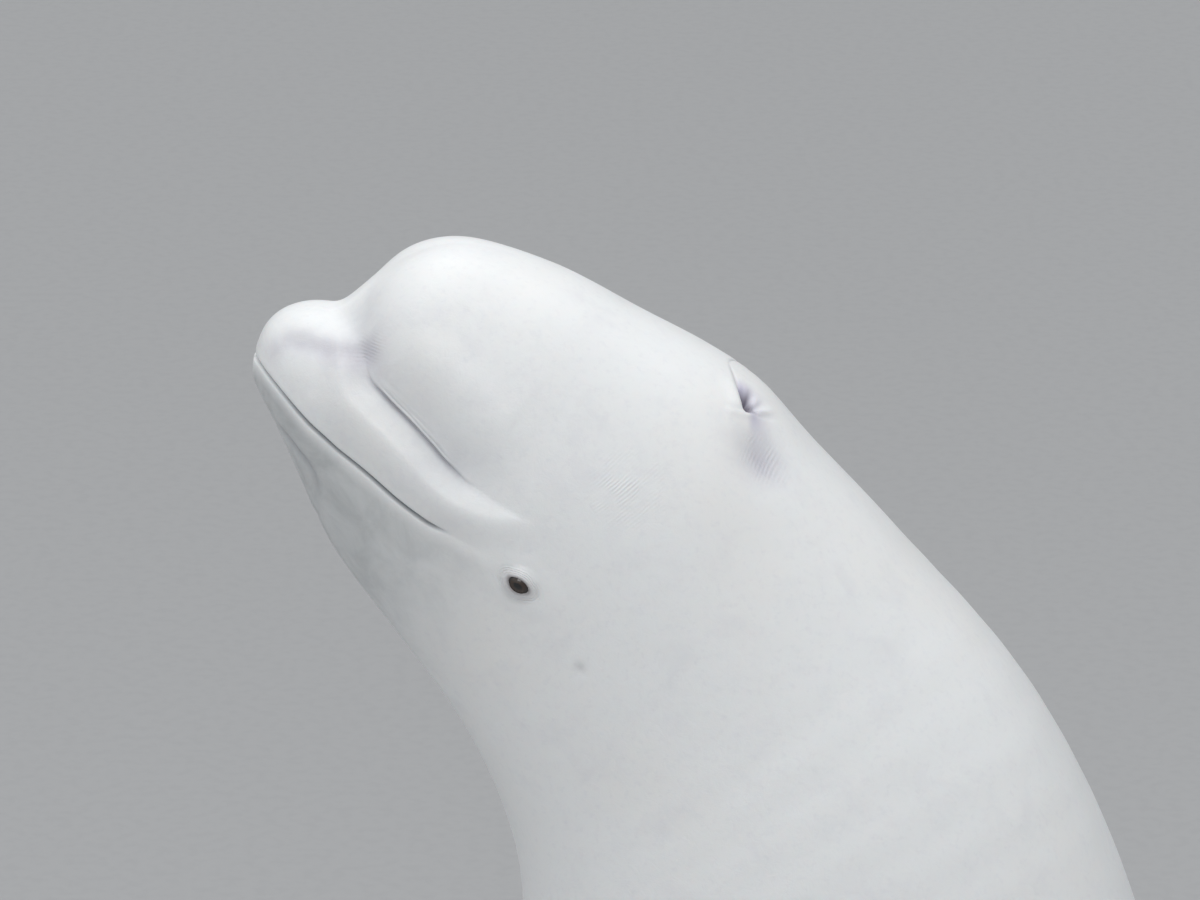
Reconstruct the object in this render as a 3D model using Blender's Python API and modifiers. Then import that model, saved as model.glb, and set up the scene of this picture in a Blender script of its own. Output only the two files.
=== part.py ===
"""Beluga whale rising upright to look around, as a life-size display model on a flat stand.

Metres, +Z up. The origin is the centre of the stand's underside. The head faces -X and the
whale's left side faces -Y. The body is a loft of flat sections along a curved spine: a section
is given by its distance from the tip of the snout, its height above and below the spine and
its half width. The spine bends only in the XZ plane, so the two sides mirror each other.
"""

import math

import bmesh
import bpy
import numpy as np

COLLECTION = "beluga_whale"
CUTTERS = "cutters"

# Where the tip of the snout is, over the stand.
SNOUT_X = -0.36
SNOUT_Z = 3.46
# Direction of the spine towards the tail: distance from the snout, degrees below level.
SPINE_TURN = [(0.0, 5), (0.06, 14), (0.20, 36), (0.40, 42), (0.60, 54), (0.85, 72), (1.10, 84),
              (1.60, 94), (2.20, 101), (2.80, 115), (3.30, 133), (3.70, 146), (4.10, 153)]
SPINE_LENGTH = 4.1
SPINE_STEP = 0.001

# Outlines of the body: distance from the snout, distance from the spine. Up to 0.07 is the
# short beak, then the melon rises, the blowhole dips at 0.42 and the trunk is fullest at 1.55.
BACK = [(0.0, 0.0), (0.004, 0.027), (0.012, 0.043), (0.027, 0.0575), (0.044, 0.066),
        (0.070, 0.0735), (0.092, 0.1165), (0.112, 0.155), (0.135, 0.182), (0.160, 0.196),
        (0.208, 0.2125), (0.300, 0.2285), (0.384, 0.246), (0.425, 0.251), (0.500, 0.2435),
        (0.600, 0.2495), (0.800, 0.296), (1.000, 0.330), (1.550, 0.380), (2.250, 0.318),
        (2.950, 0.192), (3.520, 0.098), (3.860, 0.040)]
BELLY = [(0.0, 0.0), (0.004, 0.022), (0.012, 0.038), (0.027, 0.057), (0.070, 0.104),
         (0.112, 0.134), (0.160, 0.155), (0.208, 0.172), (0.300, 0.196), (0.425, 0.224),
         (0.600, 0.264), (1.000, 0.350), (1.550, 0.398), (2.250, 0.328), (2.950, 0.194),
         (3.520, 0.098), (3.860, 0.040)]
HALF_WIDTH = [(0.0, 0.0), (0.004, 0.026), (0.012, 0.046), (0.027, 0.065), (0.070, 0.094),
              (0.112, 0.116), (0.208, 0.153), (0.300, 0.178), (0.425, 0.202), (0.600, 0.238),
              (0.800, 0.296), (1.000, 0.340), (1.550, 0.385), (2.250, 0.312), (2.950, 0.160),
              (3.520, 0.058), (3.860, 0.022)]
# Powers of the cosine and sine in a section: 1 is an ellipse, less is boxier.
SIDE_POWER = 0.92
TOP_POWER = 0.98
AROUND = 36

# Lengths of the body: name, start, end, number of rings, crowding of the rings at the start.
HEAD_END = 0.50
NECK_END = 0.70
CHEST_END = 1.30
TRUNK_END = 2.20
TAIL_END = 3.86
LENGTHS = {
    "head": (0.0, HEAD_END, 25, 1.5),
    "neck": (HEAD_END, NECK_END, 4, 1.0),
    "chest": (NECK_END, CHEST_END, 8, 1.0),
    "trunk": (CHEST_END, TRUNK_END, 8, 1.0),
    "tail_stock": (TRUNK_END, TAIL_END, 16, 1.0),
}

GAP = 0.0003

# Side view of the mouth, on the spine: distance from the snout, height.
MOUTH_LINE = [(0.0, 0.006), (0.017, -0.002), (0.052, -0.024), (0.090, -0.039),
              (0.157, -0.049), (0.215, -0.050), (0.262, -0.043)]
MOUTH_POINTS = 12
MOUTH_AHEAD = 0.06
JAW_HINGE_DROP = 0.07
JAW_BELOW = 0.30
JAW_REACH = 0.30

EYE_FROM_SNOUT = 0.345
EYE_AROUND = -12.0
EYE_RADIUS = 0.019
EYE_PROUD = 0.006

FLIPPER_FROM_SNOUT = 0.90
FLIPPER_AROUND = -36.0
FLIPPER_ROOT_DEPTH = 0.05
FLIPPER_LENGTH = 0.47
FLIPPER_CHORD = 0.27
FLIPPER_ROOT_CHORD = 0.68
FLIPPER_WIDEST = 0.48
FLIPPER_ROUNDNESS = 2.3
FLIPPER_THICK_ROOT = 0.034
FLIPPER_THICK_TIP = 0.008
FLIPPER_CURL = 0.055
FLIPPER_SWEEP = 0.020
FLIPPER_PITCH = -14.0
# Out to the side, towards the belly, towards the tail.
FLIPPER_DIRECTION = (0.68, 0.46, 0.57)
FLIPPER_RINGS = 12
FLIPPER_AROUND_COUNT = 20

FLUKE_HALF_SPAN = 0.50
FLUKE_ROOT = 0.006
FLUKE_FRONT = 3.44
FLUKE_NOTCH = 3.85
FLUKE_TIP = 3.96
FLUKE_FRONT_POWER = 1.75
FLUKE_BULGE = 0.130
FLUKE_BULGE_POWER = 0.72
FLUKE_THICK_ROOT = 0.024
FLUKE_THICK_TIP = 0.005
FLUKE_DROOP = 0.045
FLUKE_RINGS = 14
FLUKE_AROUND_COUNT = 20

BASE_LENGTH = 1.80
BASE_WIDTH = 1.30
BASE_THICKNESS = 0.05
BASE_BEVEL = 0.008
ROD_RADIUS = 0.036
FOOT_RADIUS = 0.115
FOOT_THICKNESS = 0.014
FOOT_FILLET = 0.040
ROD_SEGMENTS = 24
# Where each rod stands and how far up it goes, inside the body where it is cut off.
RODS = [(0.22, 1.12), (-0.16, 0.60)]
SHARP_EDGE = math.radians(40)


def smooth(points, at):
    """Curve through the points that keeps the rises and falls they have, and adds none."""
    x, y = (np.array(column, float) for column in zip(*points))
    step = np.diff(x)
    slope = np.diff(y) / step
    tangent = np.zeros_like(y)
    before, after = slope[:-1], slope[1:]
    same_way = before * after > 0
    weight_1, weight_2 = 2 * step[1:] + step[:-1], step[1:] + 2 * step[:-1]
    safe_before, safe_after = np.where(same_way, before, 1), np.where(same_way, after, 1)
    mean = (weight_1 + weight_2) / (weight_1 / safe_before + weight_2 / safe_after)
    tangent[1:-1] = np.where(same_way, mean, 0)
    tangent[0], tangent[-1] = slope[0], slope[-1]
    at = np.clip(at, x[0], x[-1])
    k = np.clip(np.searchsorted(x, at) - 1, 0, len(x) - 2)
    t = (at - x[k]) / step[k]
    return ((1 + 2 * t) * (1 - t) ** 2 * y[k] + t * (1 - t) ** 2 * step[k] * tangent[k]
            + t * t * (3 - 2 * t) * y[k + 1] + t * t * (t - 1) * step[k] * tangent[k + 1])


def outline(points, s):
    """Value of a body outline at a distance from the snout; the root keeps the nose round."""
    return smooth([(math.sqrt(a), b) for a, b in points], np.sqrt(np.maximum(s, 0)))


def make_spine():
    """Distances along the spine with their X, Z and direction, added up in short steps."""
    s = np.arange(0, SPINE_LENGTH + SPINE_STEP, SPINE_STEP)
    turn = np.radians(smooth(SPINE_TURN, s))
    middle = (turn[1:] + turn[:-1]) / 2
    x = SNOUT_X + np.concatenate([[0], np.cumsum(np.cos(middle)) * SPINE_STEP])
    z = SNOUT_Z - np.concatenate([[0], np.cumsum(np.sin(middle)) * SPINE_STEP])
    return s, x, z, turn


SPINE = make_spine()


def on_spine(s, height, y=0.0):
    """Point at a distance along the spine, a height towards the back and a place across."""
    x, z, turn = (np.interp(s, SPINE[0], column) for column in SPINE[1:])
    if s < 0:
        x, z = x + s * math.cos(turn), z - s * math.sin(turn)
    return np.array([x + height * np.sin(turn), y, z + height * np.cos(turn)])


def tailward(s):
    turn = np.interp(s, SPINE[0], SPINE[3])
    return np.array([math.cos(turn), 0.0, -math.sin(turn)])


def backward(s):
    turn = np.interp(s, SPINE[0], SPINE[3])
    return np.array([math.sin(turn), 0.0, math.cos(turn)])


def skin_point(s, degrees, grow=0.0):
    """Point on the body: 0 degrees is the left side, 90 the back and -90 the belly."""
    top, bottom = outline(BACK, s) + grow, outline(BELLY, s) + grow
    width = outline(HALF_WIDTH, s) + grow
    across, up = math.cos(math.radians(degrees)), math.sin(math.radians(degrees))
    y = -width * math.copysign(abs(across) ** SIDE_POWER, across)
    height = (top - bottom) / 2 + (top + bottom) / 2 * math.copysign(abs(up) ** TOP_POWER, up)
    return on_spine(s, height, y)


def body_rings(start, end, count, crowding, grow=0.0):
    """Rings of points from start to end, kept half a gap away from the cuts between lengths."""
    inset = GAP / 2 - grow
    first = start + inset if start > 0 else 0.0
    stations = first + (end - inset - first) * (np.arange(count + 1) / count) ** crowding
    angles = -90 + 360 * np.arange(AROUND) / AROUND
    return [np.array([skin_point(s, a, grow) for a in angles]) for s in stations]


def empty_scene():
    for old in list(bpy.data.objects):
        bpy.data.objects.remove(old, do_unlink=True)
    for name in (COLLECTION, CUTTERS):
        bpy.context.scene.collection.children.link(bpy.data.collections.new(name))


def material(name, color, roughness, metallic=0.0):
    made = bpy.data.materials.new(name)
    made.use_nodes = True
    shader = made.node_tree.nodes["Principled BSDF"]
    shader.inputs["Base Color"].default_value = (*color, 1.0)
    shader.inputs["Roughness"].default_value = roughness
    shader.inputs["Metallic"].default_value = metallic
    return made


def add_object(name, bm, finish=None):
    """Object from a bmesh: a part if it has a finish, otherwise a cutter."""
    bmesh.ops.recalc_face_normals(bm, faces=bm.faces[:])
    mesh = bpy.data.meshes.new(name)
    bm.to_mesh(mesh)
    bm.free()
    made = bpy.data.objects.new(name, mesh)
    bpy.data.collections[COLLECTION if finish else CUTTERS].objects.link(made)
    if finish:
        mesh.materials.append(finish)
        mesh.shade_smooth()
    else:
        made.hide_render = True
        made.display_type = "WIRE"
    return made


def loft(rings):
    """Closed surface through rings of points; a ring whose points coincide closes as a tip."""
    bm = bmesh.new()
    rows = []
    for ring in rings:
        if np.ptp(ring, axis=0).max() < GAP / 10:
            rows.append([bm.verts.new(ring[0])] * len(ring))
        else:
            rows.append([bm.verts.new(point) for point in ring])
    for row, following in zip(rows, rows[1:]):
        for k in range(len(row)):
            after = (k + 1) % len(row)
            corners = [row[k], row[after], following[after], following[k]]
            bm.faces.new(list(dict.fromkeys(corners)))
    for row in (rows[0], rows[-1]):
        if row[0] is not row[1]:
            bm.faces.new(row)
    return bm


def cut(target, cutter, operation="DIFFERENCE"):
    modifier = target.modifiers.new(cutter.name, "BOOLEAN")
    modifier.operation = operation
    modifier.solver = "EXACT"
    modifier.object = cutter


def make_lengths(skin):
    return {name: add_object(name, loft(body_rings(*sizes)), skin)
            for name, sizes in LENGTHS.items()}


def jaw_prism(name, inset):
    """Block below the mouth line and ahead of the hinge, as wide as the head and more."""
    mouth = np.array(MOUTH_LINE)
    stations = np.linspace(mouth[0, 0], mouth[-1, 0] - inset, MOUTH_POINTS)
    heights = smooth(MOUTH_LINE, stations) - inset
    side = [on_spine(-MOUTH_AHEAD, heights[0])]
    side += [on_spine(s, h) for s, h in zip(stations, heights)]
    side.append(on_spine(stations[-1] + JAW_HINGE_DROP, -JAW_BELOW))
    side.append(on_spine(-MOUTH_AHEAD, -JAW_BELOW))
    bm = bmesh.new()
    face = bm.faces.new([bm.verts.new(point + np.array([0, -JAW_REACH, 0])) for point in side])
    grown = bmesh.ops.extrude_face_region(bm, geom=[face])["geom"]
    moved = [item for item in grown if isinstance(item, bmesh.types.BMVert)]
    bmesh.ops.translate(bm, verts=moved, vec=(0, 2 * JAW_REACH, 0))
    return add_object(name, bm)


def make_jaw(head, skin):
    """Splits the jaw off the head along the mouth line."""
    jaw = add_object("lower_jaw", loft(body_rings(*LENGTHS["head"])), skin)
    cut(jaw, jaw_prism("jaw_block", GAP), "INTERSECT")
    cut(head, jaw_prism("mouth_block", 0.0))


def ball(name, centre, radius, finish=None):
    bm = bmesh.new()
    bmesh.ops.create_uvsphere(bm, u_segments=16, v_segments=10, radius=radius)
    bmesh.ops.translate(bm, verts=bm.verts[:], vec=centre)
    return add_object(name, bm, finish)


def make_eyes(head, finish):
    """Each eye sits in a round socket, with only its front standing out of the head."""
    surface = skin_point(EYE_FROM_SNOUT, EYE_AROUND)
    nearby = [skin_point(EYE_FROM_SNOUT + a, EYE_AROUND + b) for a, b in ((0.01, 0), (0, 4))]
    outward = np.cross(nearby[0] - surface, nearby[1] - surface)
    outward *= -math.copysign(1 / np.linalg.norm(outward), outward[1])
    centre = surface - outward * (EYE_RADIUS - EYE_PROUD)
    for name, side in (("eye_left", 1), ("eye_right", -1)):
        place = centre * (1, side, 1)
        ball(name, place, EYE_RADIUS, finish)
        cut(head, ball(name + "_socket", place, EYE_RADIUS + GAP))


def blade_section(middle, half_chord, half_thick, count):
    """Chord and thickness of a fin section with a round front edge and a thinner rear one."""
    angle = 2 * math.pi * np.arange(count) / count
    chord = middle + half_chord * np.cos(angle)
    thick = half_thick * np.sin(angle) * (1 - 0.35 * np.cos(angle))
    return chord, thick


def flipper_rings():
    """Sections of the left flipper, from inside the chest to the rounded tip."""
    s = FLIPPER_FROM_SNOUT
    down, belly = tailward(s), -backward(s)
    out, to_belly, to_tail = FLIPPER_DIRECTION
    along = np.array([0, -out, 0]) + to_belly * belly + to_tail * down
    along /= np.linalg.norm(along)
    chord = down - down.dot(along) * along
    chord /= np.linalg.norm(chord)
    normal = np.cross(along, chord)
    normal *= math.copysign(1, normal.dot(-belly))
    pitch = math.radians(FLIPPER_PITCH)
    chord, normal = (math.cos(pitch) * chord + math.sin(pitch) * normal,
                     math.cos(pitch) * normal - math.sin(pitch) * chord)
    root = skin_point(s, FLIPPER_AROUND) - FLIPPER_ROOT_DEPTH * along
    rings = []
    for u in np.sin(np.linspace(0, math.pi / 2, FLIPPER_RINGS + 1)):
        if u < FLIPPER_WIDEST:
            t = u / FLIPPER_WIDEST
            share = FLIPPER_ROOT_CHORD + (1 - FLIPPER_ROOT_CHORD) * t * t * (3 - 2 * t)
        else:
            t = (u - FLIPPER_WIDEST) / (1 - FLIPPER_WIDEST)
            share = max(0.0, 1 - t ** FLIPPER_ROUNDNESS) ** 0.5
        half_thick = FLIPPER_THICK_ROOT + (FLIPPER_THICK_TIP - FLIPPER_THICK_ROOT) * u
        c, n = blade_section(FLIPPER_SWEEP * math.sin(math.pi * u), FLIPPER_CHORD / 2 * share,
                             half_thick * min(1, 2 * share), FLIPPER_AROUND_COUNT)
        centre = root + along * FLIPPER_LENGTH * u + normal * FLIPPER_CURL * u ** 2.2
        rings.append(centre + c[:, None] * chord + n[:, None] * normal)
    return rings


def fluke_rings():
    """Sections of the left fluke, from the middle of the tail to the tip."""
    rings = []
    for t in np.sin(np.linspace(0, math.pi / 2, FLUKE_RINGS + 1)):
        y = FLUKE_ROOT + (FLUKE_HALF_SPAN - FLUKE_ROOT) * t
        front = FLUKE_FRONT + (FLUKE_TIP - FLUKE_FRONT) * t ** FLUKE_FRONT_POWER
        rear = FLUKE_NOTCH + (FLUKE_TIP - FLUKE_NOTCH) * t
        rear += FLUKE_BULGE * math.sin(math.pi * t) ** FLUKE_BULGE_POWER if t < 1 else 0
        share = (1 - t * t) ** 0.5
        half_thick = FLUKE_THICK_TIP + (FLUKE_THICK_ROOT - FLUKE_THICK_TIP) * (1 - t)
        c, n = blade_section((front + rear) / 2, (rear - front) / 2 if t < 1 else 0,
                             half_thick * min(1, 3 * share), FLUKE_AROUND_COUNT)
        n = n - FLUKE_DROOP * t * t
        rings.append(np.array([on_spine(s, h, -y) for s, h in zip(c, n)]))
    return rings


def make_fins(kind, rings, body_name, skin):
    """Left and right fin, each cut to the body's own shape where it meets the body."""
    for side_name, side in (("left", 1), ("right", -1)):
        mirrored = [ring * (1, side, 1) for ring in rings]
        fin = add_object(f"{kind}_{side_name}", loft(mirrored), skin)
        cut(fin, bpy.data.objects[body_name + "_cutter"])


def make_base(finish):
    bm = bmesh.new()
    bmesh.ops.create_cube(bm, size=1)
    bmesh.ops.scale(bm, verts=bm.verts[:], vec=(BASE_LENGTH, BASE_WIDTH, BASE_THICKNESS))
    bmesh.ops.translate(bm, verts=bm.verts[:], vec=(0, 0, BASE_THICKNESS / 2))
    base = add_object("stand_base", bm, finish)
    base.data.shade_flat()
    bevel = base.modifiers.new("edges", "BEVEL")
    bevel.width = BASE_BEVEL
    bevel.segments = 2


def make_foot(name, x, finish):
    """Turned foot: a flat disc on the base, flared up to the width of the rod."""
    floor = BASE_THICKNESS + GAP
    shoulder = floor + FOOT_THICKNESS
    profile = [(0, shoulder + FOOT_FILLET)]
    for angle in np.radians([0, 30, 60, 90]):
        profile.append((ROD_RADIUS + FOOT_FILLET * (1 - math.cos(angle)),
                        shoulder + FOOT_FILLET * (1 - math.sin(angle))))
    profile += [(FOOT_RADIUS, shoulder), (FOOT_RADIUS, floor), (0, floor)]
    bm = bmesh.new()
    corners = [bm.verts.new((r, 0, z)) for r, z in profile]
    edges = [bm.edges.new(pair) for pair in zip(corners, corners[1:])]
    bmesh.ops.spin(bm, geom=corners + edges, cent=(0, 0, 0), axis=(0, 0, 1),
                   angle=2 * math.pi, steps=ROD_SEGMENTS, use_merge=True)
    bmesh.ops.remove_doubles(bm, verts=bm.verts[:], dist=GAP / 10)
    bmesh.ops.translate(bm, verts=bm.verts[:], vec=(x, 0, 0))
    foot = add_object(name, bm, finish)
    foot.data.set_sharp_from_angle(angle=SHARP_EDGE)


def make_rod(name, x, top, finish):
    """Plain rod from its foot up to the tail, cut there to the tail's own shape."""
    bottom = BASE_THICKNESS + GAP + FOOT_THICKNESS + FOOT_FILLET + GAP
    bm = bmesh.new()
    bmesh.ops.create_cone(bm, cap_ends=True, segments=ROD_SEGMENTS, radius1=ROD_RADIUS,
                          radius2=ROD_RADIUS, depth=top - bottom)
    bmesh.ops.translate(bm, verts=bm.verts[:], vec=(x, 0, (top + bottom) / 2))
    rod = add_object(name, bm, finish)
    rod.data.set_sharp_from_angle(angle=SHARP_EDGE)
    cut(rod, bpy.data.objects["tail_stock_cutter"])


def make_whale_and_stand():
    empty_scene()
    skin = material("white_skin", (0.86, 0.87, 0.88), 0.38)
    eye = material("dark_eye", (0.03, 0.02, 0.015), 0.10)
    base = material("stand_board", (0.10, 0.11, 0.12), 0.55)
    steel = material("stand_steel", (0.55, 0.56, 0.57), 0.30, 1.0)
    lengths = make_lengths(skin)
    make_jaw(lengths["head"], skin)
    make_eyes(lengths["head"], eye)
    for name in ("chest", "tail_stock"):
        add_object(name + "_cutter", loft(body_rings(*LENGTHS[name], grow=GAP)))
    make_fins("flipper", flipper_rings(), "chest", skin)
    make_fins("fluke", fluke_rings(), "tail_stock", skin)
    make_base(base)
    for number, (x, top) in enumerate(RODS, start=1):
        make_foot(f"stand_foot_{number}", x, steel)
        make_rod(f"stand_rod_{number}", x, top, steel)


make_whale_and_stand()
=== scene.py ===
import math

import bmesh
import bpy
import numpy as np
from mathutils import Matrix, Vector


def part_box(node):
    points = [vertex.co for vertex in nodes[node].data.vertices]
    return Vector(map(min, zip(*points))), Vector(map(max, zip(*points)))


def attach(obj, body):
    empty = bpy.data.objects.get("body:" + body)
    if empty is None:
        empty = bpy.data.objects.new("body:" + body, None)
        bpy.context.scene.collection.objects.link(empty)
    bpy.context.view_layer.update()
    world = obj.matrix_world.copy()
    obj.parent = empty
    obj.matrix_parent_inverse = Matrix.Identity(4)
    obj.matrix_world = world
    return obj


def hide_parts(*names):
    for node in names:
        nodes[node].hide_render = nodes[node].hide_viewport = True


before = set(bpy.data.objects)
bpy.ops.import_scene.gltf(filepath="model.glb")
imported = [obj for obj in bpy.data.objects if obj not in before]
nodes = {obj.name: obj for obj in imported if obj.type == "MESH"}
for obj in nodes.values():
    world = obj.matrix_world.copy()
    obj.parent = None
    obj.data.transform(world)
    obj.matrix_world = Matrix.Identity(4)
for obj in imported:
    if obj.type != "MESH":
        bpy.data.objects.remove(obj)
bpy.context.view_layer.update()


# ---- camera: its height, distance and scale put the tip of the snout on its pixel of the picture
cameraSet = {"snout": (-0.36, 0.0, 3.46), "elevation": 18.0, "distance": 7.0, "pixelsPerMetre": 960.0,
             "snoutPixel": (255.0, 358.0), "picture": (1200.0, 900.0), "sensorWidth": 36.0,
             "clipEnd": 200.0}


def addObject(name, data):
    made = bpy.data.objects.new(name, data)
    bpy.context.scene.collection.objects.link(made)
    return made


def makeCamera():
    v = cameraSet
    tilt = math.radians(v["elevation"])
    back = np.array([0.0, -math.cos(tilt), math.sin(tilt)])
    right = np.array([1.0, 0.0, 0.0])
    up = np.array([0.0, math.sin(tilt), math.cos(tilt)])
    across, down = (v["snoutPixel"][k] - v["picture"][k] / 2 for k in (0, 1))
    place = (np.array(v["snout"]) + back * v["distance"] - right * across / v["pixelsPerMetre"]
             + up * down / v["pixelsPerMetre"])
    data = bpy.data.cameras.new("camera")
    data.sensor_fit = "HORIZONTAL"
    data.sensor_width = v["sensorWidth"]
    data.lens = v["pixelsPerMetre"] * v["distance"] * v["sensorWidth"] / v["picture"][0]
    data.clip_end = v["clipEnd"]
    camera = addObject("camera", data)
    camera.location = place
    camera.rotation_euler = (math.pi / 2 - tilt, 0.0, 0.0)
    bpy.context.scene.camera = camera


makeCamera()
print("camera placed")


# ---- the body: sections along a curved spine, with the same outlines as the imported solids
bodyForm = {
    "snout": (-0.36, 3.46),  # x and z of the tip
    "length": 3.84,
    "spineStep": 0.001, "rootStep": 0.001, "rootMargin": 0.3,
    # distance from the snout, degrees below level
    "turn": [(0.0, 5), (0.06, 14), (0.20, 36), (0.40, 42), (0.60, 54), (0.85, 72), (1.10, 84),
             (1.60, 94), (2.20, 101), (2.80, 115), (3.30, 133), (3.70, 146), (4.10, 153)],
    # distance from the snout, distance from the spine
    "back": [(0.0, 0.0), (0.004, 0.027), (0.012, 0.043), (0.027, 0.0575), (0.044, 0.066),
             (0.070, 0.0735), (0.092, 0.1165), (0.112, 0.155), (0.135, 0.182), (0.160, 0.196),
             (0.208, 0.2125), (0.300, 0.2285), (0.384, 0.246), (0.425, 0.251), (0.500, 0.2435),
             (0.600, 0.2495), (0.800, 0.296), (1.000, 0.330), (1.550, 0.380), (2.250, 0.318),
             (2.950, 0.192), (3.520, 0.098), (3.720, 0.056), (3.840, 0.024)],
    "belly": [(0.0, 0.0), (0.004, 0.022), (0.012, 0.038), (0.027, 0.057), (0.070, 0.104),
              (0.112, 0.134), (0.160, 0.155), (0.208, 0.172), (0.300, 0.196), (0.425, 0.224),
              (0.600, 0.264), (1.000, 0.350), (1.550, 0.398), (2.250, 0.328), (2.950, 0.194),
              (3.520, 0.098), (3.720, 0.056), (3.840, 0.024)],
    "side": [(0.0, 0.0), (0.004, 0.026), (0.012, 0.046), (0.027, 0.065), (0.070, 0.094),
             (0.112, 0.116), (0.208, 0.153), (0.300, 0.178), (0.425, 0.202), (0.600, 0.238),
             (0.800, 0.296), (1.000, 0.340), (1.550, 0.385), (2.250, 0.312), (2.950, 0.160),
             (3.520, 0.058), (3.840, 0.024)],
    "sidePower": 0.92, "topPower": 0.98,  # 1 is an ellipse, less is boxier
    "softHead": 0.009, "softTrunk": 0.045,  # smoothing of the outlines, in root metres
    "softChange": (0.70, 1.15),  # where one smoothing gives way to the other, in root metres
    "capLength": 0.012,  # rounding past the end of the tail
}


def curveThrough(points, at):
    # cubic between the points; each slope is the weighted harmonic mean of its two chords, so no new bumps
    x, y = (np.array(column, float) for column in zip(*points))
    gap = np.diff(x)
    chord = np.diff(y) / gap
    before, after = chord[:-1], chord[1:]
    sameWay = before * after > 0
    weightA, weightB = 2 * gap[1:] + gap[:-1], gap[1:] + 2 * gap[:-1]
    before, after = np.where(sameWay, before, 1), np.where(sameWay, after, 1)
    mean = (weightA + weightB) / (weightA / before + weightB / after)
    slope = np.concatenate([chord[:1], np.where(sameWay, mean, 0), chord[-1:]])
    at = np.clip(at, x[0], x[-1])
    k = np.clip(np.searchsorted(x, at) - 1, 0, len(x) - 2)
    t = (at - x[k]) / gap[k]
    return ((1 + 2 * t) * (1 - t) ** 2 * y[k] + t * (1 - t) ** 2 * gap[k] * slope[k]
            + t * t * (3 - 2 * t) * y[k + 1] + t * t * (t - 1) * gap[k] * slope[k + 1])


def ease(x, start, end):
    # 0 before start, 1 after end, and the curve 3t^2 - 2t^3 between them
    t = np.clip((x - start) / (end - start), 0, 1)
    return t * t * (3 - 2 * t)


def bell(x, width):
    # e to the minus square of x over width
    return np.exp(-(x / width) ** 2)


def makeOutlines():
    # each outline is a function of the root of the distance, made odd about the tip so that the nose stays
    # round, then averaged with a bell: a narrow one over the head and a wide one over the trunk
    f = bodyForm
    end, step, margin = math.sqrt(f["length"]), f["rootStep"], f["rootMargin"]
    root = np.arange(-margin, end + margin, step)
    last = np.searchsorted(root, end) - 2
    made = {"root": root}
    for name in ("back", "belly", "side"):
        knots = [(math.sqrt(a), b) for a, b in f[name]]
        value = curveThrough(knots, np.abs(root)) * np.sign(root)
        endSlope = (value[last] - value[last - 10]) / (10 * step)
        value = np.where(root > end, knots[-1][1] + endSlope * (root - end), value)
        softened = []
        for spread in (f["softHead"], f["softTrunk"]):
            reach = np.arange(-int(4 * spread / step), int(4 * spread / step) + 1) * step  # four widths each way
            kernel = np.exp(-0.5 * (reach / spread) ** 2)
            softened.append(np.convolve(value, kernel / kernel.sum(), mode="same"))
        change = ease(root, *f["softChange"])
        made[name] = softened[0] * (1 - change) + softened[1] * change
    return made


def makeSpine():
    # the direction is a smooth function of the distance; its cosine and sine, added up, give the place
    f = bodyForm
    s = np.arange(0, f["turn"][-1][0], f["spineStep"])
    turn = np.radians(curveThrough(f["turn"], s))
    middle = (turn[1:] + turn[:-1]) / 2
    x = f["snout"][0] + np.concatenate([[0], np.cumsum(np.cos(middle)) * f["spineStep"]])
    z = f["snout"][1] - np.concatenate([[0], np.cumsum(np.sin(middle)) * f["spineStep"]])
    return s, x, z, turn


outlines = makeOutlines()
spine = makeSpine()


def onSpine(s, height, y):
    # s metres along the spine, then height metres towards the back, square to the spine
    x, z, turn = (np.interp(s, spine[0], column) for column in spine[1:])
    return np.stack(np.broadcast_arrays(x + height * np.sin(turn), y, z + height * np.cos(turn)), -1)


def sectionAt(s):
    # back, belly and side outline; past the tail's end they shrink as a quarter circle
    root = np.sqrt(np.maximum(s, 0))
    past = np.clip((s - bodyForm["length"]) / bodyForm["capLength"], 0, 1)
    shrink = np.sqrt(np.maximum(1 - past ** 2, 0))
    return [np.interp(root, outlines["root"], outlines[name]) * shrink for name in ("back", "belly", "side")]


def bodyPoint(s, around):
    # a section is a squared ellipse; around is -90 on the belly, 0 on the left side and 90 on the back
    back, belly, side = sectionAt(s)
    across, up = np.cos(np.radians(around)), np.sin(np.radians(around))
    y = -side * np.sign(across) * np.abs(across) ** bodyForm["sidePower"]
    height = (back - belly) / 2 + (back + belly) / 2 * np.sign(up) * np.abs(up) ** bodyForm["topPower"]
    return onSpine(s, height, y)


def placeOn(s, around):
    # one place on the body
    return bodyPoint(np.array([s]), np.array([float(around)]))[0]


def bodyNormal(s, around):
    # cross product of the steps along the root of the distance and around the section
    root, small = np.sqrt(np.maximum(s, 1e-9)), 1e-4
    along = bodyPoint((root + small) ** 2, around) - bodyPoint(np.maximum(root - small, 1e-6) ** 2, around)
    across = bodyPoint(s, around + 0.05) - bodyPoint(s, around - 0.05)
    normal = np.cross(along, across)
    return normal / np.maximum(np.linalg.norm(normal, axis=-1, keepdims=True), 1e-12)


def aroundAt(s, height):
    # the angle whose point lies at that height over the spine
    back, belly, _ = sectionAt(s)
    share = np.clip((height - (back - belly) / 2) / ((back + belly) / 2), -1, 1)
    return np.degrees(np.arcsin(np.sign(share) * np.abs(share) ** (1 / bodyForm["topPower"])))


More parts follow.
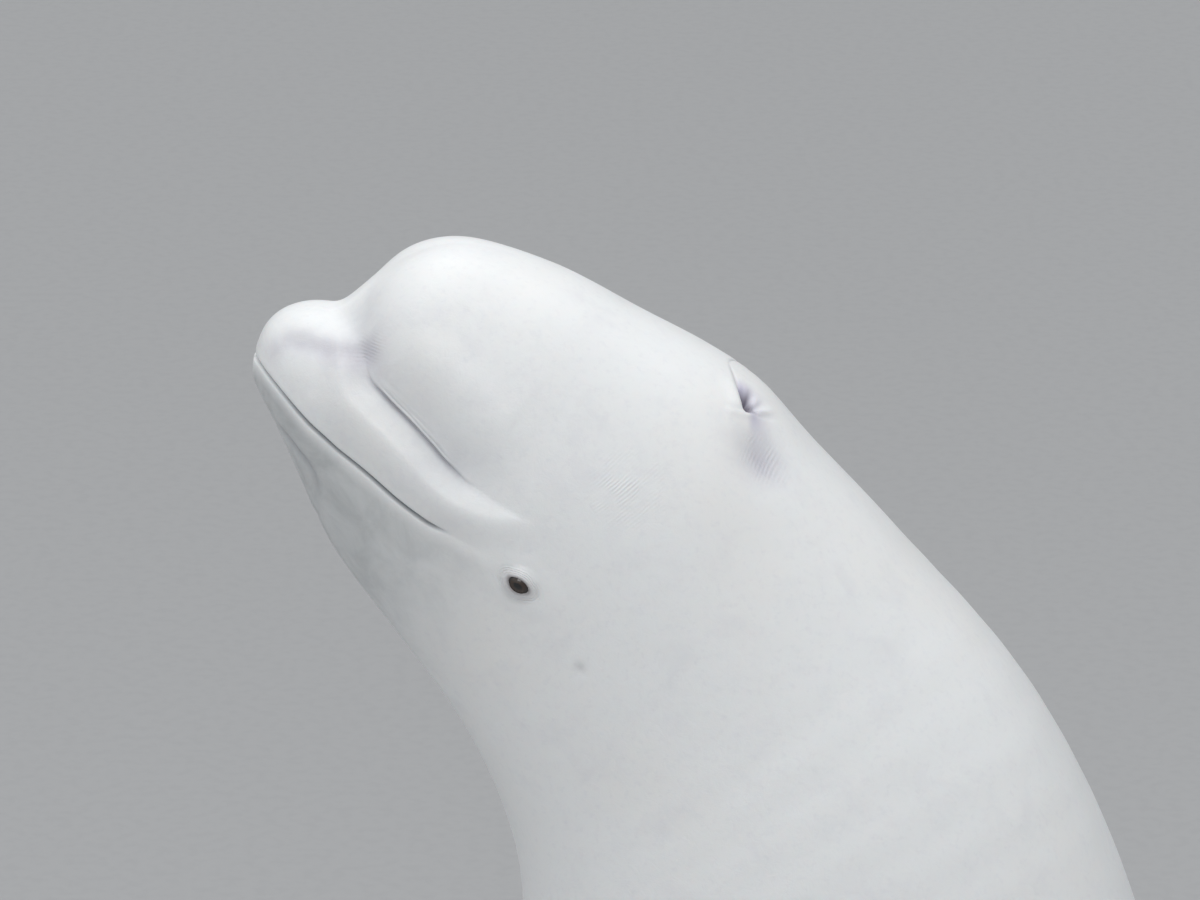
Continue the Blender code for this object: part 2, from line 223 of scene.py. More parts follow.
# ---- the lines that the features follow: distance from the snout, then degrees around, or for the mouth the
# height over the spine
featureLines = {
    "mouth": [(0.0, 0.006), (0.008, 0.003), (0.017, -0.002), (0.034, -0.013), (0.052, -0.024), (0.071, -0.033),
              (0.090, -0.039), (0.114, -0.045), (0.157, -0.049), (0.195, -0.051), (0.228, -0.049), (0.262, -0.041)],
    "crease": [(0.072, 90), (0.079, 61), (0.086, 41), (0.096, 24), (0.108, 12), (0.122, 6.2), (0.138, 2.6),
               (0.159, 0.5), (0.187, -1.2), (0.208, -2.2), (0.231, -2.4), (0.265, -1), (0.305, 2)],
    "beakValley": [(0.020, 33), (0.030, 40), (0.045, 42), (0.060, 42), (0.075, 39), (0.092, 30)],
    "throatFold": [(0.030, -58), (0.040, -52), (0.050, -46), (0.060, -42.5), (0.073, -40.5), (0.089, -43),
                   (0.106, -50), (0.123, -61), (0.134, -75), (0.138, -90)],
    "slit": [(0.388, 90), (0.3905, 86.5), (0.399, 80), (0.4085, 74), (0.416, 69.5)],
    "slitFold": [(0.403, 66), (0.416, 69), (0.426, 73), (0.441, 82), (0.450, 90)],
}
lineCounts = {"mouth": 140, "crease": 160, "beakValley": 40, "throatFold": 60, "slit": 60, "slitFold": 50}
mouthStart = 0.014  # root of the distance where the mouth line begins


def surfaceLine(name):
    # smooth path over the body through a feature's marks: distances, angles and places
    marks, count = featureLines[name], lineCounts[name]
    if name == "mouth":
        s = np.linspace(mouthStart, math.sqrt(marks[-1][0]), count) ** 2
        around = aroundAt(s, curveThrough(marks, s))
    else:
        number = np.arange(len(marks))
        at = np.linspace(0, len(marks) - 1, count)
        s, around = (curveThrough(list(zip(number, [m[k] for m in marks])), at) for k in (0, 1))
    return s, around, bodyPoint(s, around)


def nearestOn(points, normals, path):
    # for each point: distance to the path, share of the path's length, and the offset across it, positive
    # where the path's own direction crossed with the surface normal points away
    steps = np.linalg.norm(np.diff(path, axis=0), axis=1)
    run = np.concatenate([[0], np.cumsum(steps)])
    best = np.full(len(points), 1e9)
    share, side = np.zeros(len(points)), np.zeros(len(points))
    for k, (a, b) in enumerate(zip(path[:-1], path[1:])):  # one path step at a time, all points at once
        t = np.clip((points - a) @ (b - a) / steps[k] ** 2, 0, 1)
        offset = points - a - t[:, None] * (b - a)
        distance = np.linalg.norm(offset, axis=1)
        nearer = distance < best
        best = np.where(nearer, distance, best)
        share = np.where(nearer, (run[k] + t * steps[k]) / run[-1], share)
        crossed = np.einsum("ij,ij->i", np.cross((b - a) / steps[k], normals), offset)
        side = np.where(nearer, -crossed, side)
    return best, share, side


# ---- the skin's grid: rings along the body, lines around it, both closer together where the features are
gridForm = {
    # distance from the snout, number of rings up to it
    "rings": [(0.0, 0), (0.0012, 8), (0.006, 17), (0.016, 26), (0.030, 33), (0.068, 46), (0.115, 67),
              (0.30, 118), (0.372, 142), (0.388, 151), (0.400, 159), (0.452, 182), (0.50, 191), (0.62, 207),
              (0.80, 225), (1.05, 256), (1.60, 280), (2.90, 328), (3.36, 352), (3.84, 400)],
    "capRings": 5,
    # degrees around at rest, number of lines up to it
    "lines": [(-90, 0), (-27, 26), (-21.6, 32), (-14.4, 48), (-9, 54), (4, 64), (9, 70), (15, 90), (20, 96),
              (56, 116), (90, 156)],
    "mouthLine": -18.0, "mouthHalf": 7.0, "creaseLine": 12.0, "creaseHalf": 6.5,
    "thinFrom": [(0.50, 26), (0.64, 26)],  # past here every second line above this number stops
    # rings bent along the blowhole: degrees around and metres back, degrees of its start, where it is felt
    "slitBend": [(30, 0.0), (52, 0.020), (62, 0.0285)], "slitBendStart": (30, 52), "slitBendFelt": (0.30, 0.60),
}
# where the bunched lines go: distance from the snout, degrees around
mouthWay = [(0.0, 0), (0.008, 0.5), (0.017, -4), (0.034, -9), (0.052, -12), (0.071, -14.5), (0.090, -17),
            (0.114, -20.5), (0.157, -22.5), (0.195, -21.5), (0.228, -19.2), (0.262, -15.5), (0.300, -13),
            (0.345, -12), (0.50, -14), (0.75, -18), (4.0, -18)]
creaseWay = [(0.0, 30), (0.085, 30), (0.096, 24), (0.108, 12), (0.122, 6.2), (0.138, 2.6), (0.159, 0.5),
             (0.187, -1.2), (0.208, -2.0), (0.231, -1.0), (0.265, 4), (0.305, 8), (0.40, 12), (4.0, 12)]


def gridAngles(s, rest):
    # resting angle plus two shifts: one bunch of lines follows the mouth and then the eye, one the crease
    g = gridForm
    mouthEnd, creaseStart = g["mouthLine"] + g["mouthHalf"], g["creaseLine"] - g["creaseHalf"]
    handOver = np.clip((rest - mouthEnd) / (creaseStart - mouthEnd), 0, 1)
    mouthShare = ease(rest, -90, g["mouthLine"] - g["mouthHalf"]) * (1 - handOver)
    creaseShare = handOver * (1 - ease(rest, g["creaseLine"] + g["creaseHalf"], 90))
    mouthShift = curveThrough(mouthWay, s) - g["mouthLine"]
    creaseShift = curveThrough(creaseWay, s) - g["creaseLine"]
    return rest + mouthShift * mouthShare + creaseShift * creaseShare


def gridDistances(s, around):
    # near the blowhole the rings bend so that one of them runs along the slit and past its end
    marks = featureLines["slit"]
    ends = [(a, d - marks[0][0]) for d, a in marks[::-1]]
    bend = curveThrough(gridForm["slitBend"] + ends, around) * ease(around, *gridForm["slitBendStart"])
    start, end = gridForm["slitBendFelt"]
    share = np.where(s < marks[0][0], ease(s, start, marks[0][0]), 1 - ease(s, marks[0][0], end))
    return s + bend * share


def evenCounts(knots):
    # places at every whole number along a smooth curve of number against place
    return curveThrough([(number, place) for place, number in knots], np.arange(knots[-1][1] + 1))


# ---- relief of the skin: every feature adds metres along the normal, and marks where the colour changes
# a range is a share of the feature's own line: two places are start and end, four are rise and fall
relief = {
    "mouthDepth": 0.0065, "mouthWidth": 0.0018, "mouthFade": (0.90, 1.0), "mouthDarkens": (0.05, 0.50),
    "lipRoll": 0.0004, "lipRollWidth": 0.0045, "lipRollAway": 0.0065,
    "lipFront": 0.0030, "lipFrontReach": 0.016, "lipFrontPlace": (0.002, -60), "lipFrontBelow": (-0.001, 0.004),
    # metres from the snout, then degrees around
    "bandBulge": 0.0130, "bandStart": (0.03, 0.11), "bandEnd": (0.24, 0.33), "bandTop": (40, 62),
    "bandSkew": 0.6, "bandPower": 0.8,
    "creaseDepth": 0.0125, "creaseAbove": 0.040, "creaseBelow": 0.0145, "creaseTop": (45, 80),
    "creaseFade": (0.72, 1.0),
    "foldDepth": 0.0050, "foldWidth": 0.0019, "foldRange": (0.33, 0.46, 0.68, 0.86), "foldReach": 0.03,
    # further folds above it: depth, width, distance away, range along the crease
    "moreFolds": [(0.0024, 0.0015, 0.0052, (0.39, 0.48, 0.52, 0.60)),
                  (0.0026, 0.0014, 0.0046, (0.54, 0.61, 0.66, 0.74)),
                  (0.0016, 0.0016, 0.0092, (0.42, 0.50, 0.58, 0.64)),
                  (0.0010, 0.0018, 0.0140, (0.38, 0.46, 0.52, 0.60))],
    "melonAway": 0.085, "melonBulge": 0.0035, "melonWidth": 0.045,
    "beakValley": 0.0035, "beakValleyWidth": 0.013, "beakValleyStart": (0, 0.3),
    "throatDepth": 0.0034, "throatWidth": 0.0056, "throatStart": (0.0, 0.10), "throatFade": (0.35, 0.62),
    "throatFaint": 0.72, "throatRoll": 0.0008, "throatRollAway": 0.012, "throatRollWidth": 0.009,
    "slitDepth": 0.0120, "slitReach": 0.0095, "slitPower": 1.3, "slitNear": 0.08, "slitRear": 0.0004,
    "slitOpen": (0.52, 0.78, 0.87, 1.0),
    "slitShut": 0.0016, "slitShutWidth": 0.0020, "slitShutRange": (0.25, 0.50, 0.60, 0.80),
    "slitHollow": 0.0036, "slitHollowReach": 0.022, "slitEdge": 0.0030, "slitEdgeWidth": 0.0045,
    "slitLip": 0.0024, "slitLipAway": 0.009, "slitLipWidth": 0.010, "slitLipRange": (0.35, 0.72, 0.90, 1.0),
    "slitLine": 0.0010, "slitLineWidth": 0.0016, "slitLineFade": (0.88, 1.0), "slitLineStart": (0.0, 0.30),
    "slitDark": (0.008, 0.0185), "slitTintReach": 0.022, "slitTintStart": (0.30, 0.6),
    "slitFold": 0.0016, "slitFoldWidth": 0.0040, "slitFoldFade": (0.35, 0.80),
    "spokeDepth": 0.0022, "spokes": 30.0, "spokeAway": 0.020, "spokeLength": 0.017,
    "rightShare": 0.15,  # how much of the blowhole shows on the right side
    # painted shade under the jaw: metres below the mouth line, metres from the snout where it fades, degrees around
    # where it fades
    "jawBelow": (0.0, 0.02), "jawEnd": (0.16, 0.40), "jawTop": (-10, 10),
    "neckFold": 0.0004, "neckFoldLength": 0.047, "neckFoldRange": (0.56, 0.66, 0.80, 0.95),
    "fatFold": 0.0090, "fatFoldAround": -57.0, "fatFoldWidth": 10.0, "fatFoldRange": (0.95, 1.25, 2.0, 2.7),
    "dorsalRidge": 0.0080, "dorsalWidth": 0.026, "dorsalRange": (1.75, 2.05, 2.70, 3.15),
}
# pits pressed into the skin: distance from the snout, degrees around, width, depth
pits = {"hollow": (0.447, 61, 0.034, 0.0090), "ear": (0.452, -15, 0.0060, 0.0022)}
# patches of fine wrinkles and of tint: distance from the snout, degrees around, width; the tint where the crease
# begins is painted shade
patches = {"beakWrinkles": (0.094, 32, 0.016), "neckWrinkles": (0.362, 26, 0.034),
           # the last patch on this line is a painted highlight on the lip
           "hollowWrinkles": (0.453, 62, 0.024), "creaseFrontShade": (0.094, 28, 0.024), "lipHighlight": (0.064, 8, 0.006)}


def between(x, fourPlaces):
    # rises over the first two places and falls over the last two
    return ease(x, *fourPlaces[:2]) * (1 - ease(x, *fourPlaces[2:]))


def spotMark(points, distance, around, width):
    # bell of the distance from one place on the body
    return bell(np.linalg.norm(points - placeOn(distance, around), axis=1), width)


def addRelief(s, around, points, normals, openShare):
    # openShare is how much of the blowhole shows on this side: it lies a little to the left
    r = relief
    marks = {}
    height = np.zeros(len(points))

    # mouth: a narrow bell-shaped groove with a soft roll on each side, and a fuller lip at the jaw's front
    away, share, aboveMouth = nearestOn(points, normals, surfaceLine("mouth")[2])
    gape = 1 - ease(share, *r["mouthFade"])
    height -= r["mouthDepth"] * bell(away, r["mouthWidth"]) * gape
    height += r["lipRoll"] * bell(away - r["lipRollAway"], r["lipRollWidth"]) * gape
    lipFront = spotMark(points, *r["lipFrontPlace"], r["lipFrontReach"])
    height += r["lipFront"] * lipFront * ease(-aboveMouth, *r["lipFrontBelow"])
    # painted shade in the mouth's groove, darker towards the corner
    marks["mouth"] = bell(away, r["mouthWidth"] * 1.3) * gape * (0.45 + 0.55 * ease(share, *r["mouthDarkens"]))

    # crease under the melon: a broad valley, long on the melon's side and short on the lip's, with sharp folds
    _, creaseAround, crease = surfaceLine("crease")
    away, share, side = nearestOn(points, normals, crease)
    belowCrease = -side
    strength = np.interp(share, np.linspace(0, 1, len(crease)), 1 - ease(creaseAround, *r["creaseTop"]))
    strength = strength * (1 - ease(share, *r["creaseFade"]))
    width = np.where(side > 0, r["creaseAbove"], r["creaseBelow"])
    height -= r["creaseDepth"] * bell(away, width) * strength
    fold = between(share, r["foldRange"])
    height -= r["foldDepth"] * bell(away, r["foldWidth"]) * fold
    for depth, foldWidth, off, foldRange in r["moreFolds"]:
        height -= depth * bell(side - off, foldWidth) * between(share, foldRange) * (away < r["foldReach"])
    height += r["melonBulge"] * bell(side - r["melonAway"], r["melonWidth"]) * strength * (side > 0)
    # painted shade: a dark line in the sharp fold, and a broad band over the valley
    marks["crease"] = bell(away, r["foldWidth"] * 1.2) * fold
    marks["creaseShade"] = bell(away, width * 0.9) * strength

    # the lip between mouth and crease: a roll that is nothing at both lines and fullest nearer the crease
    inBand = (aboveMouth > 0) & (belowCrease > 0)
    place = np.where(inBand, aboveMouth / np.maximum(aboveMouth + belowCrease, 1e-6), 0)
    band = (4 * place ** (1 + r["bandSkew"]) * (1 - place)) ** r["bandPower"]
    band = band * between(s, r["bandStart"] + r["bandEnd"]) * (1 - ease(around, *r["bandTop"]))
    height += r["bandBulge"] * band

    # shallow valley along the side of the beak, with painted shade along it
    away, share, _ = nearestOn(points, normals, surfaceLine("beakValley")[2])
    height -= r["beakValley"] * bell(away, r["beakValleyWidth"]) * ease(share, *r["beakValleyStart"])
    marks["beakValley"] = bell(away, r["beakValleyWidth"] * 1.2)

    # throat: a fold behind the chin, with the throat standing out below it
    away, share, side = nearestOn(points, normals, surfaceLine("throatFold")[2])
    along = ease(share, *r["throatStart"]) * (1 - r["throatFaint"] * ease(share, *r["throatFade"]))
    height -= r["throatDepth"] * bell(away, r["throatWidth"]) * along
    roll = bell(side + r["throatRollAway"], r["throatRollWidth"]) * (away < 0.05)
    height += r["throatRoll"] * roll * along
    # painted shade in the fold behind the chin
    marks["throat"] = bell(away, r["throatWidth"]) * along

    # blowhole: a lip in front, a sudden drop behind it that rises slowly to the rear fold
    slitS, slitAround, slit = surfaceLine("slit")
    away, share, side = nearestOn(points, normals, slit)
    near, behind = away < r["slitNear"], side > r["slitRear"]
    wide = between(share, r["slitOpen"]) * near * openShare
    lip = openShare * ~behind * between(share, r["slitLipRange"]) * near
    height += r["slitLip"] * bell(away - r["slitLipAway"], r["slitLipWidth"]) * lip
    height -= r["slitEdge"] * bell(away, r["slitEdgeWidth"]) * lip
    line = bell(away, r["slitLineWidth"]) * (1 - ease(share, *r["slitLineFade"]))
    line = line * (0.35 + 0.65 * ease(share, *r["slitLineStart"]))
    height -= r["slitLine"] * line
    height -= r["slitHollow"] * bell(away, r["slitHollowReach"]) * behind * wide
    height -= r["slitShut"] * bell(away, r["slitShutWidth"]) * between(share, r["slitShutRange"]) * openShare
    height -= r["slitDepth"] * np.exp(-(away / r["slitReach"]) ** r["slitPower"]) * behind * wide
    # painted shade inside the open blowhole, and faintly along its shut line
    marks["slit"] = np.maximum((1 - ease(away, *r["slitDark"])) * behind * wide, 0.35 * line)
    pale = behind * (1 - ease(share, 0.97, 1.0) * (1 - ease(side, 0.0, 0.012)))
    pale = pale * ease(share, *r["slitTintStart"]) * near * openShare
    marks["slitTint"] = bell(away, r["slitTintReach"]) * pale

    # folds like spokes behind it: sine of the turn about the slit's end, and the rear fold itself
    tip, tipNormal = slit[-1], bodyNormal(slitS[-1:], slitAround[-1:])[0]
    backward = onSpine(slitS[-1] + 0.01, 0, 0) - onSpine(slitS[-1], 0, 0)
    backward /= np.linalg.norm(backward)
    turn = np.arctan2((points - tip) @ np.cross(tipNormal, backward), (points - tip) @ backward)
    spoke = bell(np.linalg.norm(points - tip, axis=1) - r["spokeAway"], r["spokeLength"])
    spoke = spoke * behind * ease(away, 0.0, 0.006) * near * (1 - ease(share, 0.95, 1.0))
    height += openShare * r["spokeDepth"] * np.sin(turn * r["spokes"] / 2) * spoke
    away, share, _ = nearestOn(points, normals, surfaceLine("slitFold")[2])
    height += openShare * r["slitFold"] * bell(away, r["slitFoldWidth"]) * (1 - ease(share, *r["slitFoldFade"]))

    # the ear's small pit is also tinted with painted shade
    # the hollow's tint is a lavender tone that is partly painted shade
    for name, (distance, angle, width, depth) in pits.items():
        marks[name] = spotMark(points, distance, angle, width)
        height -= depth * marks[name]
    for name, patch in patches.items():
        marks[name] = spotMark(points, *patch)
    # painted shade on the lower jaw, which faces down
    marks["jaw"] = ease(-aboveMouth, *r["jawBelow"]) * (1 - ease(s, *r["jawEnd"])) * (1 - ease(around, *r["jawTop"]))

    # neck: low rings of skin; belly: two lengthwise rolls of fat; back: the low ridge that stands for a fin
    rings = np.sin(2 * math.pi * (s + 0.012 * np.sin(np.radians(around * 3))) / r["neckFoldLength"])
    rings = rings * between(s, r["neckFoldRange"]) * (0.6 + 0.4 * np.sin(np.radians(around * 2 + 40)))
    height += r["neckFold"] * rings
    roll = bell(around - r["fatFoldAround"] - 3 * np.sin(s * 9), r["fatFoldWidth"])
    height += r["fatFold"] * roll * between(s, r["fatFoldRange"]) * (1 + 0.25 * np.sin(s * 23 + 1))
    marks["ridge"] = bell(points[:, 1], r["dorsalWidth"]) * (around > 0) * between(s, r["dorsalRange"])
    height += r["dorsalRidge"] * marks["ridge"] * (1 + 0.18 * np.sin(s * 60))
    return height, marks


# ---- eyes: a ball set in each socket, and lids that close over it in an almond
eyeForm = {"distance": 0.345, "around": -12.0, "radius": 0.0188, "halfLength": 0.0125, "halfHeight": 0.0078,
           "lid": 0.0017, "tilt": 10.0, "pull": 1.7, "blend": 0.007, "reach": 0.06, "deepest": -0.03,
           "foldAway": 1.75, "foldWidth": 0.22, "fold": 0.0011, "sunk": 0.0022, "fade": (3.0, 5.0)}


def eyeAxes():
    e = eyeForm
    low, high = (np.array(corner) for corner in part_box("eye_left"))
    centre = (low + high) / 2
    s, around = e["distance"], e["around"]
    outward = bodyNormal(np.array([s]), np.array([around]))[0]
    along = placeOn(s + 0.01, around) - placeOn(s - 0.01, around)
    along -= outward * (along @ outward)
    along /= np.linalg.norm(along)
    up = np.cross(along, outward)
    up *= math.copysign(1, up @ (placeOn(s, around + 3) - placeOn(s, around)))
    tilt = math.radians(e["tilt"])
    along, up = math.cos(tilt) * along + math.sin(tilt) * up, math.cos(tilt) * up - math.sin(tilt) * along
    return centre, outward, along, up


def addLids(points, marks):
    # the skin is lifted over the ball like a dome, drawn together at the rim of an almond and sunk inside it
    e = eyeForm
    centre, outward, along, up = eyeAxes()
    rel = points - centre
    a, b, c = rel @ along, rel @ up, rel @ outward
    near = (np.hypot(a, b) < e["reach"]) & (c > e["deepest"])
    height = e["halfHeight"] * np.sqrt(np.maximum(1 - 0.25 * np.clip(a / e["halfLength"], -1, 1) ** 2, 0))
    # rho is 0 in the middle of the almond and 1 at its rim
    rho = np.sqrt((a / e["halfLength"]) ** 2 + (b / height) ** 2)
    drawn = np.where(rho < 2, 1 + np.sign(rho - 1) * np.abs(rho - 1) ** e["pull"], rho)
    scale = np.where(near, drawn / np.maximum(rho, 1e-6), 1)
    a, b, rho = a * scale, b * scale, np.where(near, drawn, rho)
    dome = np.sqrt(np.maximum((e["radius"] + e["lid"]) ** 2 - a * a - b * b, 0))
    lifted = (c + dome + np.sqrt((c - dome) ** 2 + e["blend"] ** 2 * ease(rho, 0.9, 1.6))) / 2
    lifted -= e["fold"] * bell(rho - e["foldAway"], e["foldWidth"])
    lifted = np.where(rho > e["fade"][0], c + (lifted - c) * (1 - ease(rho, *e["fade"])), lifted)
    inside = np.sqrt(np.maximum(e["radius"] ** 2 - a * a - b * b, 0)) - e["sunk"]
    c = np.where(near, inside + (lifted - inside) * ease(rho, 0.86, 1.0), c)
    marks["eye"] = np.where(near, bell(np.maximum(rho - 1, 0), 0.9), 0)
    # painted shade along the rim where the lids meet the eyeball
    marks["lid"] = np.where(near, bell(rho - 1, e["foldWidth"]), 0)
    return centre + a[:, None] * along + b[:, None] * up + c[:, None] * outward


def gridFaces(rows, kept):
    # quads between rings, and three triangles where a line stops; columns run once round the body
    faces = []
    start = [0]
    for row in kept[:-1]:
        start.append(start[-1] + len(row))
    for i in range(rows - 1):
        front, rear = kept[i], kept[i + 1]
        count = len(front)
        a = start[i] + np.arange(count)
        if len(rear) == count:
            b = start[i + 1] + np.arange(count)
            faces.append(np.stack([a, b, np.roll(b, -1), np.roll(a, -1)], 1))
            continue
        place = {column: k for k, column in enumerate(front)}
        frontAt = np.array([place[column] for column in rear])
        gap = (np.roll(frontAt, -1) - frontAt) % count
        f0, f1, f2 = (start[i] + (frontAt + k) % count for k in (0, 1, 2))
        r0 = start[i + 1] + np.arange(len(rear))
        r1 = np.roll(r0, -1)
        one, two = gap == 1, gap == 2
        faces.append(np.stack([f0, r0, r1, f1], 1)[one])
        third = np.full(two.sum(), -1)
        for trio in ((f0, r0, f1), (f1, r0, r1), (f1, r1, f2)):
            faces.append(np.column_stack([np.stack(trio, 1)[two], third]))
    return np.concatenate(faces)


def fanFaces(ring, following, tip):
    # triangles from one point to each step of a ring
    return np.stack([np.full(len(ring), tip), ring, following, np.full(len(ring), -1)], 1)


def meshFrom(name, points, faces):
    # faces hold four corners, or three and a -1
    mesh = bpy.data.meshes.new(name)
    sizes = np.where(faces[:, 3] < 0, 3, 4)
    corners = faces.ravel()[faces.ravel() >= 0]
    mesh.vertices.add(len(points))
    mesh.vertices.foreach_set("co", np.asarray(points, np.float32).ravel())
    mesh.loops.add(len(corners))
    mesh.loops.foreach_set("vertex_index", corners.astype(np.int32))
    mesh.polygons.add(len(faces))
    mesh.polygons.foreach_set("loop_start", np.concatenate([[0], np.cumsum(sizes)[:-1]]).astype(np.int32))
    mesh.polygons.foreach_set("loop_total", sizes.astype(np.int32))
    mesh.update(calc_edges=True)
    mesh.validate()
    mesh.shade_smooth()
    return mesh


def setMarks(mesh, marks):
    for name, values in marks.items():
        layer = mesh.attributes.get(name) or mesh.attributes.new(name, "FLOAT", "POINT")
        layer.data.foreach_set("value", np.asarray(values, np.float32))


def makeBody():
    g = gridForm
    ringS = evenCounts(g["rings"])[1:]
    cap = np.sin(np.linspace(0, math.pi / 2, g["capRings"] + 1))[1:-1]
    ringS = np.concatenate([ringS, bodyForm["length"] + bodyForm["capLength"] * cap])
    rest = evenCounts(g["lines"])
    half = len(rest) - 1
    s, u = np.meshgrid(ringS, rest, indexing="ij")
    around = gridAngles(s, u)
    s = gridDistances(s, around)
    flatS, flatAround = s.ravel(), around.ravel()
    points, normals = bodyPoint(flatS, flatAround), bodyNormal(flatS, flatAround)
    middle = np.tile((np.arange(half + 1) % half) == 0, len(ringS))
    points[middle, 1] = 0
    normals[middle, 1] = 0
    normals /= np.linalg.norm(normals, axis=1, keepdims=True)
    # left side and right side: columns half+1 to 2*half-1 mirror half-1 down to 1
    columns = np.arange(2 * half)
    source = np.where(columns <= half, columns, 2 * half - columns)
    onLeft = columns <= half
    gridPoints, gridMarks = None, {}
    for mirror, openShare in ((1.0, 1.0), (-1.0, relief["rightShare"])):
        height, marks = addRelief(flatS, flatAround, points, normals, openShare)
        formed = addLids(points + normals * height[:, None], marks)
        formed[middle, 1] = 0
        formed = formed.reshape(len(ringS), half + 1, 3)[:, source] * np.array([1, mirror, 1])
        gridPoints = formed if mirror > 0 else np.where(onLeft[None, :, None], gridPoints, formed)
        for name, value in marks.items():
            value = value.reshape(len(ringS), half + 1)[:, source]
            gridMarks[name] = value if mirror > 0 else np.where(onLeft[None, :], gridMarks[name], value)
    print("relief worked out")

    kept = []
    columnsKept = [int(k) for k in range(half + 1)]
    stops = list(g["thinFrom"])
    for distance in ringS:
        if stops and distance > stops[0][0]:
            first = stops.pop(0)[1]
            low = [k for k in columnsKept if k <= first]
            high = [k for k in columnsKept if k > first]
            keep = high[1::2] if len(high) % 2 == 0 else high[::2]
            columnsKept = low + keep
        kept.append(columnsKept + [2 * half - k for k in columnsKept[-2:0:-1]])
    pick = np.concatenate([np.array(row) + i * 2 * half for i, row in enumerate(kept)])
    points = gridPoints.reshape(-1, 3)[pick]
    marks = {name: value.ravel()[pick] for name, value in gridMarks.items()}
    faces = gridFaces(len(kept), kept)

    # one point closes the snout and one the tail
    total = len(points)
    tailEnd = onSpine(bodyForm["length"] + bodyForm["capLength"], 0, 0)
    nose, tail = np.arange(len(kept[0])), total - len(kept[-1]) + np.arange(len(kept[-1]))
    faces = np.concatenate([faces, fanFaces(nose, np.roll(nose, -1), total),
                            fanFaces(np.roll(tail, -1), tail, total + 1)])
    points = np.concatenate([points, [placeOn(0.0, 0.0), tailEnd]])
    marks = {name: np.concatenate([value, value[:1], value[-1:]]) for name, value in marks.items()}
    return points, faces, marks


# ---- fins: sections across a blade, from a flared root inside the body to a rounded tip
flipperForm = {"distance": 0.90, "around": -36.0, "rootDepth": 0.05, "length": 0.47, "chord": 0.27,
               "rootChord": 0.68, "widest": 0.48, "roundness": 2.3, "thickRoot": 0.034, "thickTip": 0.0065,
               "curl": 0.055, "curlPower": 2.2, "sweep": 0.020, "pitch": -14.0, "direction": (0.68, 0.46, 0.57),
               "rings": 44, "pointsRound": 44, "flare": 0.35, "flareRange": (0.06, 0.36), "rootTaper": 0.34,
               "rootNarrow": 0.24, "rootBack": 0.034}
flukeForm = {"halfSpan": 0.50, "front": 3.44, "notch": 3.85, "tip": 3.96, "frontPower": 1.75, "bulge": 0.130,
             "bulgePower": 0.72, "thickRoot": 0.024, "thickTip": 0.0045, "droop": 0.045, "rings": 40,
             "pointsRound": 44}
edgeTint = {"rear": (0.55, 1.0), "tip": (0.93, 1.0)}


def bladeSection(middle, halfChord, halfThick, angle):
    # chord follows the cosine, thickness the sine, thinned towards the rear edge
    return middle + halfChord * np.cos(angle), halfThick * np.sin(angle) * (1 - 0.35 * np.cos(angle))


def edgeMark(share, angle):
    # 1 along the rear edge of a fin and at its tip
    return np.maximum(ease(np.cos(angle), *edgeTint["rear"]), ease(share, *edgeTint["tip"]))


def makeFlipper():
    # share of the length u runs as a sine, so that rings crowd at the tip
    f = flipperForm
    turn = np.interp(f["distance"], spine[0], spine[3])
    down = np.array([math.cos(turn), 0.0, -math.sin(turn)])
    belly = -np.array([math.sin(turn), 0.0, math.cos(turn)])
    out, toBelly, toTail = f["direction"]
    along = np.array([0, -out, 0]) + toBelly * belly + toTail * down
    along /= np.linalg.norm(along)
    chord = down - down.dot(along) * along
    chord /= np.linalg.norm(chord)
    normal = np.cross(along, chord)
    normal *= math.copysign(1, normal.dot(-belly))
    pitch = math.radians(f["pitch"])
    chord, normal = (math.cos(pitch) * chord + math.sin(pitch) * normal,
                     math.cos(pitch) * normal - math.sin(pitch) * chord)
    root = placeOn(f["distance"], f["around"]) - f["rootDepth"] * along
    u = np.sin(np.linspace(0, math.pi / 2, f["rings"] + 1))[:, None]
    angle = (2 * math.pi * np.arange(f["pointsRound"]) / f["pointsRound"])[None, :]
    past = np.clip((u - f["widest"]) / (1 - f["widest"]), 0, 1)
    share = np.where(u < f["widest"], f["rootChord"] + (1 - f["rootChord"]) * ease(u, 0, f["widest"]),
                     np.sqrt(np.maximum(0, 1 - past ** f["roundness"])))
    flare = 1 + f["flare"] * (1 - ease(u, *f["flareRange"])) ** 2
    halfThick = (f["thickRoot"] + (f["thickTip"] - f["thickRoot"]) * u) * np.minimum(1, 2 * share) * flare
    halfChord = f["chord"] / 2 * share * (0.5 + 0.5 * flare)
    c, n = bladeSection(f["sweep"] * np.sin(math.pi * u), halfChord, halfThick, angle)
    # the front of the root lies further back, so that the leading edge rises out of the body
    rooted = 1 - ease(u, 0, f["rootTaper"])
    c = c * (1 - f["rootNarrow"] * rooted) + f["rootBack"] * rooted
    n = n + f["curl"] * u ** f["curlPower"]
    grid = root + along * f["length"] * u[..., None] + c[..., None] * chord + n[..., None] * normal
    return grid, edgeMark(u, angle)


def makeFlukes():
    # one blade from tip to tip: t is 1 at the left tip, 0 in the middle and 1 again at the right tip
    f = flukeForm
    part = np.linspace(-math.pi / 2, math.pi / 2, 2 * f["rings"] + 1)
    t = np.abs(np.sin(part))[:, None]
    side = np.sign(part)[:, None]
    angle = (2 * math.pi * np.arange(f["pointsRound"]) / f["pointsRound"])[None, :]
    front = f["front"] + (f["tip"] - f["front"]) * t ** f["frontPower"]
    rear = f["notch"] + (f["tip"] - f["notch"]) * t
    rear = rear + f["bulge"] * np.maximum(np.sin(math.pi * t), 0) ** f["bulgePower"]
    share = np.sqrt(np.maximum(1 - t * t, 0))
    halfThick = (f["thickTip"] + (f["thickRoot"] - f["thickTip"]) * (1 - t)) * np.minimum(1, 3 * share)
    c, n = bladeSection((front + rear) / 2, (rear - front) / 2 * (share > 1e-6), halfThick, angle)
    return onSpine(c, n - f["droop"] * t * t, f["halfSpan"] * t * side), edgeMark(t, angle)


